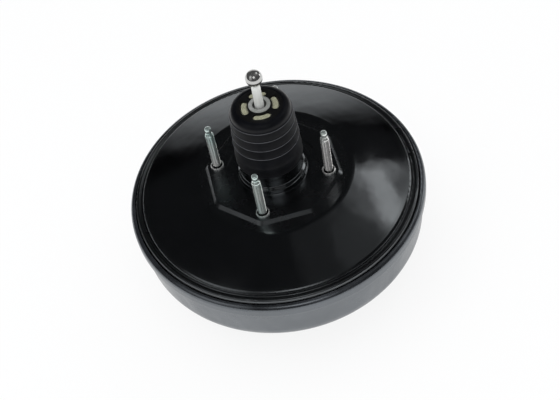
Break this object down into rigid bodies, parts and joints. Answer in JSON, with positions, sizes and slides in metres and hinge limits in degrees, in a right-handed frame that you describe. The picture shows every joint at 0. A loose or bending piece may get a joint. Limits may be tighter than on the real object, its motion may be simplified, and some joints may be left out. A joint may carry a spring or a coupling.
{
  "type": "brake booster",
  "caption": "Vacuum brake booster: pressed black drum and cone, bulkhead studs on a square, boot over a sliding valve body, ball-ended push rod.",
  "frame": {"origin": "centre of the bulkhead pad's flat face, on the main axis", "axes": "+Z along the push rod towards the pedal; X and Y along the sides of the bulkhead stud square; -Z towards the master cylinder"},
  "size_m": [0.2814, 0.2814, 0.2476],
  "materials": {
    "black_shell": "gloss black dip coat over pressed steel",
    "zinc_steel": "zinc plated, faint blue-green passivation",
    "bright_steel": "plain turned steel",
    "rod_steel": "machined rod, ball polished",
    "spring_steel": "drawn spring wire",
    "pressed_steel": "pressed sheet, zinc plated",
    "boot_rubber": "satin black moulded rubber",
    "black_rubber": "matte black moulded rubber",
    "phenolic": "dark moulded phenolic",
    "felt": "pressed felt, tan-grey",
    "ring_plastic": "pale moulded plastic",
    "guide_plastic": "natural nylon",
    "valve_plastic": "black moulded plastic"
  },
  "bodies": {
    "housing": {"check_valve": "valve_plastic", "check_valve_grommet": "black_rubber", "diaphragm": "black_rubber", "dust_boot": "boot_rubber", "front_plate": "pressed_steel", "front_seal": "black_rubber", "front_shell": "black_shell", "front_stud_1": "zinc_steel", "front_stud_2": "zinc_steel", "neck_bearing": "guide_plastic", "neck_seal": "black_rubber", "rear_plate": "pressed_steel", "rear_shell": "black_shell", "rear_stud_1": "zinc_steel", "rear_stud_2": "zinc_steel", "rear_stud_3": "zinc_steel", "rear_stud_4": "zinc_steel", "return_spring": "spring_steel", "seal_retainer": "pressed_steel"},
    "power_piston": {"air_filter": "felt", "diaphragm_plate": "pressed_steel", "inlet_ring": "ring_plastic", "output_rod": "bright_steel", "poppet": "black_rubber", "poppet_sleeve": "pressed_steel", "poppet_spring": "spring_steel", "reaction_disc": "black_rubber", "rod_keeper": "pressed_steel", "rod_spring": "spring_steel", "stop_key": "bright_steel", "valve_body": "phenolic"},
    "plunger": {"plunger": "bright_steel"},
    "push_rod": {"input_rod": "rod_steel", "spring_washer": "pressed_steel"}
  },
  "joints": [
    {"name": "boost_stroke", "type": "slide", "parent": "housing", "child": "power_piston", "axis": [0, 0, -1], "range_m": [0, 0.038], "stiffness_N_per_m": 2500, "springref_m": -0.045, "deforming": ["return_spring", "dust_boot", "diaphragm"]},
    {"name": "valve_opening", "type": "slide", "parent": "power_piston", "child": "plunger", "axis": [0, 0, -1], "range_m": [0, 0.0018], "stiffness_N_per_m": 6000, "springref_m": -0.008, "deforming": ["rod_spring"]},
    {"name": "rod_swivel", "type": "hinge", "parent": "plunger", "child": "push_rod", "pos_m": [0, 0, 0.009], "axis": [1, 0, 0], "range_deg": [-1.4, 1.4], "stiffness_Nm_per_rad": 4}
  ]
}
